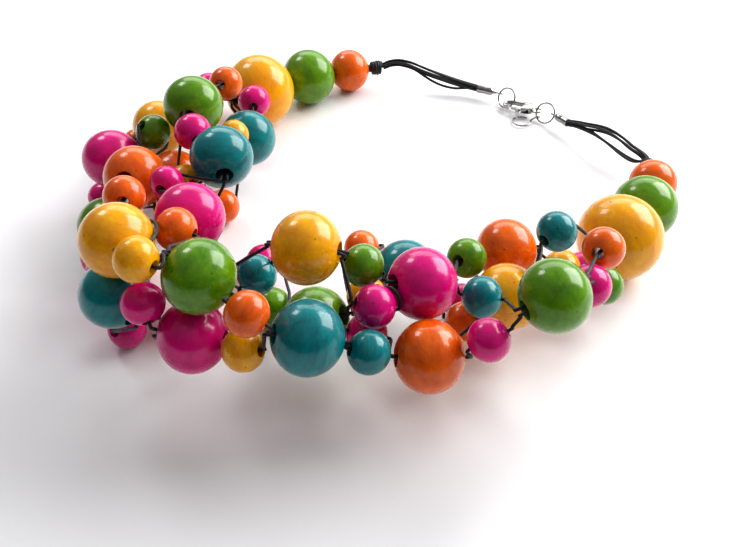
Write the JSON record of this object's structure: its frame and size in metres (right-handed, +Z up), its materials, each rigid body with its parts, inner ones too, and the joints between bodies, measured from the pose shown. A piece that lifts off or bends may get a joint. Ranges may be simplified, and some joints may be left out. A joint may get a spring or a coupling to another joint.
{
  "type": "beaded necklace",
  "caption": "Chunky necklace of large and small painted wooden balls crossing on thin waxed cords, with graded end balls, knots, crimped cord ends, jump rings and a lobster clasp.",
  "frame": {"origin": "middle of the outline on the surface that the necklace lies on", "axes": "+Z up from the surface; the cluster of balls lies towards -Y and the clasp towards +Y"},
  "size_m": [0.2074, 0.211, 0.0624],
  "materials": {
    "orange_lacquer": "stained and lacquered turned wood, glossy, with faint grain and small pits",
    "green_lacquer": "stained and lacquered turned wood, glossy, with faint grain and small pits",
    "yellow_lacquer": "stained and lacquered turned wood, glossy, with faint grain and small pits",
    "pink_lacquer": "stained and lacquered turned wood, glossy, with faint grain and small pits",
    "teal_lacquer": "stained and lacquered turned wood, glossy, with faint grain and small pits",
    "waxed_cord": "charcoal waxed cotton cord, slightly shiny",
    "nickel": "bright nickel plate"
  },
  "bodies": {
    "necklace": {"end_ball_right_orange": "orange_lacquer", "end_ball_right_green": "green_lacquer", "end_ball_right_yellow": "yellow_lacquer", "small_ball_a1": "orange_lacquer", "small_ball_a4": "teal_lacquer", "large_ball_A1": "green_lacquer", "large_ball_A2": "orange_lacquer", "large_ball_A3": "yellow_lacquer", "small_ball_b2": "teal_lacquer", "small_ball_b3": "pink_lacquer", "large_ball_B1": "pink_lacquer", "large_ball_B2": "orange_lacquer", "large_ball_B3": "teal_lacquer", "small_ball_c3": "pink_lacquer", "small_ball_c4": "teal_lacquer", "large_ball_C1": "yellow_lacquer", "large_ball_C2": "green_lacquer", "large_ball_C3": "teal_lacquer", "small_ball_d4": "orange_lacquer", "small_ball_d5": "yellow_lacquer", "large_ball_D1": "green_lacquer", "large_ball_D2": "pink_lacquer", "large_ball_D3": "orange_lacquer", "small_ball_e1": "yellow_lacquer", "small_ball_e3": "pink_lacquer", "large_ball_E1": "yellow_lacquer", "large_ball_E2": "pink_lacquer", "large_ball_E3": "teal_lacquer", "large_ball_F1": "orange_lacquer", "large_ball_F2": "teal_lacquer", "large_ball_F3": "pink_lacquer", "large_ball_G1": "orange_lacquer", "large_ball_G2": "green_lacquer", "large_ball_G3": "green_lacquer", "large_ball_H1": "teal_lacquer", "large_ball_H2": "pink_lacquer", "large_ball_I1": "yellow_lacquer", "end_ball_left_yellow": "yellow_lacquer", "end_ball_left_green": "green_lacquer", "end_ball_left_orange": "orange_lacquer", "ball_string_1": "waxed_cord", "ball_string_2": "waxed_cord", "ball_string_3": "waxed_cord", "ball_string_4": "waxed_cord", "ball_string_5": "waxed_cord", "ball_string_6": "waxed_cord", "cord_knot_left": "waxed_cord", "neck_cords_left": "waxed_cord", "cord_end_left": "nickel", "jump_ring_left": "nickel", "cord_knot_right": "waxed_cord", "neck_cords_right": "waxed_cord", "cord_end_right": "nickel", "jump_ring_right": "nickel", "spare_ring": "nickel", "clasp_body": "nickel"},
    "lever": {"clasp_lever": "nickel"}
  },
  "joints": [
    {"name": "clasp_lever_hinge", "type": "hinge", "parent": "necklace", "child": "lever", "pos_m": [0.05846, 0.07485, 0.00317], "axis": [0.0804, -0.0522, -0.9954], "range_deg": [0, 15], "stiffness_Nm_per_rad": 0.02, "springref_deg": -11.46}
  ]
}
